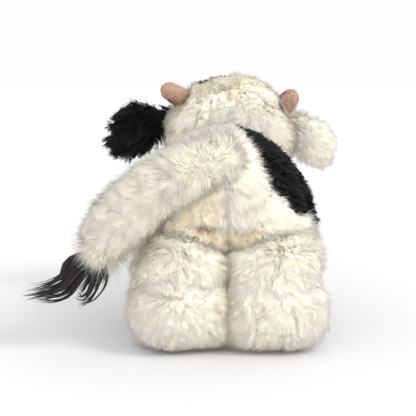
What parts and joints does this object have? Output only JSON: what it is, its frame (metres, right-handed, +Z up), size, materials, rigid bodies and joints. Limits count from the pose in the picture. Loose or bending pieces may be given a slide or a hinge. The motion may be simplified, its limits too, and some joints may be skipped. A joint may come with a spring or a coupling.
{
  "type": "plush cow",
  "caption": "Standing stuffed cow of long cream pile with black patches, a bending neck, ears, legs and tail, and a tail tassel.",
  "frame": {"origin": "middle of the outer box, on the floor under the soles", "axes": "+Z up, -Y the way the cow faces, +X to the cow's left, where the tail is carried"},
  "size_m": [0.339, 0.3828, 0.2728],
  "materials": {
    "cream_plush": "long silky pile",
    "black_plush": "shorter curly pile",
    "tan_velour": "short dense pile",
    "pink_velour": "short dense pile",
    "brown_stitching": "satin stitch",
    "black_fibre": "long glossy strands",
    "eye_plastic": "polished",
    "washer_plastic": "as moulded"
  },
  "bodies": {
    "torso": {"torso": "cream_plush", "flank_patch": "black_plush"},
    "head": {"head": "cream_plush", "face_patch": "black_plush", "muzzle": "tan_velour", "left_nostril": "brown_stitching", "right_nostril": "brown_stitching", "left_eye": "eye_plastic", "right_eye": "eye_plastic", "left_eye_washer": "washer_plastic", "right_eye_washer": "washer_plastic", "left_horn": "tan_velour", "right_horn": "tan_velour"},
    "left_ear": {"left_ear": "black_plush", "left_ear_lining": "pink_velour"},
    "right_ear": {"right_ear": "cream_plush", "right_ear_lining": "pink_velour"},
    "left_hind_leg": {"left_hind_haunch": "cream_plush", "left_hind_foot": "cream_plush"},
    "right_hind_leg": {"right_hind_haunch": "cream_plush", "right_hind_foot": "cream_plush"},
    "left_front_leg": {"left_front_haunch": "cream_plush", "left_front_foot": "cream_plush"},
    "right_front_leg": {"right_front_haunch": "cream_plush", "right_front_foot": "cream_plush"},
    "tail": {"tail": "cream_plush"},
    "tassel": {"tassel": "black_fibre"}
  },
  "joints": [
    {"name": "neck_nod", "type": "hinge", "parent": "torso", "child": "head", "pos_m": [-0.04063, -0.03266, 0.148], "axis": [1, 0, 0], "range_deg": [-10, 18], "stiffness_Nm_per_rad": 3},
    {"name": "left_ear_flap", "type": "hinge", "parent": "head", "child": "left_ear", "pos_m": [0.02835, -0.09568, 0.21665], "axis": [0.1905, 0.0135, 0.9816], "range_deg": [-30, 12], "stiffness_Nm_per_rad": 0.12},
    {"name": "right_ear_flap", "type": "hinge", "parent": "head", "child": "right_ear", "pos_m": [-0.11151, -0.10303, 0.20687], "axis": [-0.4221, -0.0188, 0.9063], "range_deg": [-12, 30], "stiffness_Nm_per_rad": 0.12},
    {"name": "left_hind_swing", "type": "hinge", "parent": "torso", "child": "left_hind_leg", "pos_m": [0.01487, 0.11434, 0.072], "axis": [1, 0, 0], "range_deg": [-15, 15], "stiffness_Nm_per_rad": 3},
    {"name": "right_hind_swing", "type": "hinge", "parent": "torso", "child": "right_hind_leg", "pos_m": [-0.08813, 0.11434, 0.072], "axis": [1, 0, 0], "range_deg": [-15, 15], "stiffness_Nm_per_rad": 3},
    {"name": "left_front_swing", "type": "hinge", "parent": "torso", "child": "left_front_leg", "pos_m": [0.00937, -0.02666, 0.064], "axis": [1, 0, 0], "range_deg": [-15, 15], "stiffness_Nm_per_rad": 3},
    {"name": "right_front_swing", "type": "hinge", "parent": "torso", "child": "right_front_leg", "pos_m": [-0.08263, -0.02666, 0.064], "axis": [1, 0, 0], "range_deg": [-15, 15], "stiffness_Nm_per_rad": 3},
    {"name": "tail_swing", "type": "hinge", "parent": "torso", "child": "tail", "pos_m": [-0.02256, 0.12802, 0.19571], "axis": [0, 1, 0], "range_deg": [-30, 5], "stiffness_Nm_per_rad": 1.2},
    {"name": "tassel_swing", "type": "hinge", "parent": "tail", "child": "tassel", "pos_m": [0.09146, 0.15707, 0.10583], "axis": [0, 1, 0], "range_deg": [-20, 20], "stiffness_Nm_per_rad": 0.1}
  ]
}
